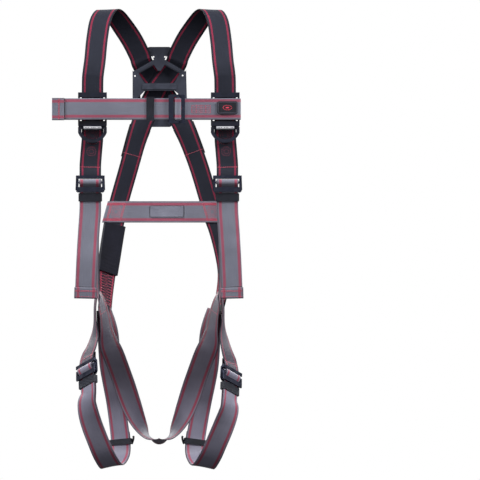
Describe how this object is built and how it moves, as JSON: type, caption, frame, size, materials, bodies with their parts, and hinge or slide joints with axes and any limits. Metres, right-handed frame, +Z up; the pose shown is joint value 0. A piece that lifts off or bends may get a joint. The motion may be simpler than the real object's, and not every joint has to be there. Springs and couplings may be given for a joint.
{
  "type": "safety harness",
  "caption": "Full body fall-arrest harness of striped webbing with a dorsal D-ring, an unpadded back plate, pass-through buckles at chest, torso and legs, and sliding keepers.",
  "frame": {"origin": "centre of the eye of the dorsal D-ring, from which the harness hangs", "axes": "+Z up along the wearer's body, -Y towards the chest, +X to the wearer's left"},
  "size_m": [0.397, 0.2486, 0.9638],
  "materials": {
    "grey_webbing": "woven polyester webbing, grey with rose stripes",
    "dark_webbing": "woven polyester webbing, charcoal with dark red stripes",
    "slate_plate": "moulded matte polymer",
    "black_steel": "glossy black coated steel",
    "bar_steel": "knurled black steel",
    "black_plastic": "moulded satin polymer",
    "keeper_elastic": "woven elastic band",
    "sleeve_cloth": "black woven cover",
    "badge_rubber": "moulded rubber patch",
    "label_paper": "printed satin label",
    "patch_cloth": "woven patch"
  },
  "bodies": {
    "straps": {"left_shoulder_strap": "dark_webbing", "right_shoulder_strap": "dark_webbing", "left_front_strap": "grey_webbing", "right_front_strap": "grey_webbing", "seat_strap": "grey_webbing", "left_leg_strap": "grey_webbing", "right_leg_strap": "grey_webbing", "left_leg_riser": "dark_webbing", "right_leg_riser": "dark_webbing", "waist_strap": "grey_webbing", "waist_patch": "patch_cloth", "back_plate": "slate_plate", "label_sleeve": "sleeve_cloth", "label_booklet": "label_paper", "left_torso_frame": "black_steel", "right_torso_frame": "black_steel", "left_leg_frame": "black_steel", "right_leg_frame": "black_steel"},
    "chest": {"chest_strap_left": "grey_webbing", "chest_strap_right": "grey_webbing", "chest_badge": "badge_rubber", "chest_frame": "black_steel", "left_chest_adjuster": "black_plastic", "right_chest_adjuster": "black_plastic"},
    "dorsal_ring": {"dorsal_ring": "black_steel"},
    "left_torso_link": {"left_torso_link": "black_steel"},
    "left_torso_bar": {"left_torso_bar": "bar_steel"},
    "left_leg_link": {"left_leg_link": "black_steel"},
    "left_leg_bar": {"left_leg_bar": "bar_steel"},
    "left_parking_ring": {"left_parking_ring": "black_plastic"},
    "left_tail_keeper": {"left_tail_keeper": "keeper_elastic"},
    "left_leg_keeper": {"left_leg_keeper": "keeper_elastic"},
    "left_hem_keeper": {"left_hem_keeper": "keeper_elastic"},
    "right_torso_link": {"right_torso_link": "black_steel"},
    "right_torso_bar": {"right_torso_bar": "bar_steel"},
    "right_leg_link": {"right_leg_link": "black_steel"},
    "right_leg_bar": {"right_leg_bar": "bar_steel"},
    "right_parking_ring": {"right_parking_ring": "black_plastic"},
    "right_tail_keeper": {"right_tail_keeper": "keeper_elastic"},
    "right_leg_keeper": {"right_leg_keeper": "keeper_elastic"},
    "right_hem_keeper": {"right_hem_keeper": "keeper_elastic"},
    "chest_link": {"chest_link": "black_steel"},
    "chest_bar": {"chest_bar": "bar_steel"},
    "chest_keeper": {"chest_keeper": "keeper_elastic"}
  },
  "joints": [
    {"name": "dorsal_ring_swing", "type": "hinge", "parent": "straps", "child": "dorsal_ring", "pos_m": [0, -0.013, 0.052], "axis": [1, 0, 0], "range_deg": [0, 100]},
    {"name": "chest_height_slide", "type": "slide", "parent": "straps", "child": "chest", "axis": [0, 0, 1], "range_m": [-0.015, 0.02]},
    {"name": "left_torso_link_rock", "type": "hinge", "parent": "straps", "child": "left_torso_link", "pos_m": [-0.143, -0.2294, -0.149], "axis": [-1, 0, 0], "range_deg": [0, 20]},
    {"name": "left_torso_bar_slide", "type": "slide", "parent": "left_torso_link", "child": "left_torso_bar", "axis": [0, 0, 1], "range_m": [0, 0.0012]},
    {"name": "left_leg_link_rock", "type": "hinge", "parent": "straps", "child": "left_leg_link", "pos_m": [-0.15264, -0.16654, -0.53721], "axis": [-0.6395, 0.6795, -0.3597], "range_deg": [0, 20]},
    {"name": "left_leg_bar_slide", "type": "slide", "parent": "left_leg_link", "child": "left_leg_bar", "axis": [-0.0317, 0.4442, 0.8954], "range_m": [0, 0.0012]},
    {"name": "left_parking_ring_swing", "type": "hinge", "parent": "chest", "child": "left_parking_ring", "pos_m": [-0.1385, -0.2285, -0.036], "axis": [-1, 0, 0], "range_deg": [0, 75]},
    {"name": "left_tail_keeper_slide", "type": "slide", "parent": "straps", "child": "left_tail_keeper", "axis": [0, 0, 1], "range_m": [-0.018, 0]},
    {"name": "left_leg_keeper_slide", "type": "slide", "parent": "straps", "child": "left_leg_keeper", "axis": [-0.0317, 0.4442, 0.8954], "range_m": [-0.01, 0]},
    {"name": "left_hem_keeper_slide", "type": "slide", "parent": "straps", "child": "left_hem_keeper", "axis": [-0.03, 0.06, 0.9977], "range_m": [-0.001, 0.004]},
    {"name": "right_torso_link_rock", "type": "hinge", "parent": "straps", "child": "right_torso_link", "pos_m": [0.143, -0.2294, -0.149], "axis": [-1, 0, 0], "range_deg": [0, 20]},
    {"name": "right_torso_bar_slide", "type": "slide", "parent": "right_torso_link", "child": "right_torso_bar", "axis": [0, 0, 1], "range_m": [0, 0.0012]},
    {"name": "right_leg_link_rock", "type": "hinge", "parent": "straps", "child": "right_leg_link", "pos_m": [0.15264, -0.16654, -0.55121], "axis": [-0.6395, -0.6795, 0.3597], "range_deg": [0, 20]},
    {"name": "right_leg_bar_slide", "type": "slide", "parent": "right_leg_link", "child": "right_leg_bar", "axis": [0.0317, 0.4442, 0.8954], "range_m": [0, 0.0012]},
    {"name": "right_parking_ring_swing", "type": "hinge", "parent": "chest", "child": "right_parking_ring", "pos_m": [0.1385, -0.2285, -0.036], "axis": [-1, 0, 0], "range_deg": [0, 75]},
    {"name": "right_tail_keeper_slide", "type": "slide", "parent": "straps", "child": "right_tail_keeper", "axis": [0, 0, 1], "range_m": [-0.018, 0]},
    {"name": "right_leg_keeper_slide", "type": "slide", "parent": "straps", "child": "right_leg_keeper", "axis": [0.0317, 0.4442, 0.8954], "range_m": [-0.01, 0]},
    {"name": "right_hem_keeper_slide", "type": "slide", "parent": "straps", "child": "right_hem_keeper", "axis": [0.03, 0.06, 0.9977], "range_m": [-0.001, 0.004]},
    {"name": "chest_link_rock", "type": "hinge", "parent": "chest", "child": "chest_link", "pos_m": [0.04, -0.2392, 0.004], "axis": [0, 0, 1], "range_deg": [0, 20]},
    {"name": "chest_bar_slide", "type": "slide", "parent": "chest_link", "child": "chest_bar", "axis": [1, 0, 0], "range_m": [0, 0.0012]},
    {"name": "chest_keeper_slide", "type": "slide", "parent": "chest", "child": "chest_keeper", "axis": [1, 0, 0], "range_m": [-0.03, 0.02]}
  ]
}
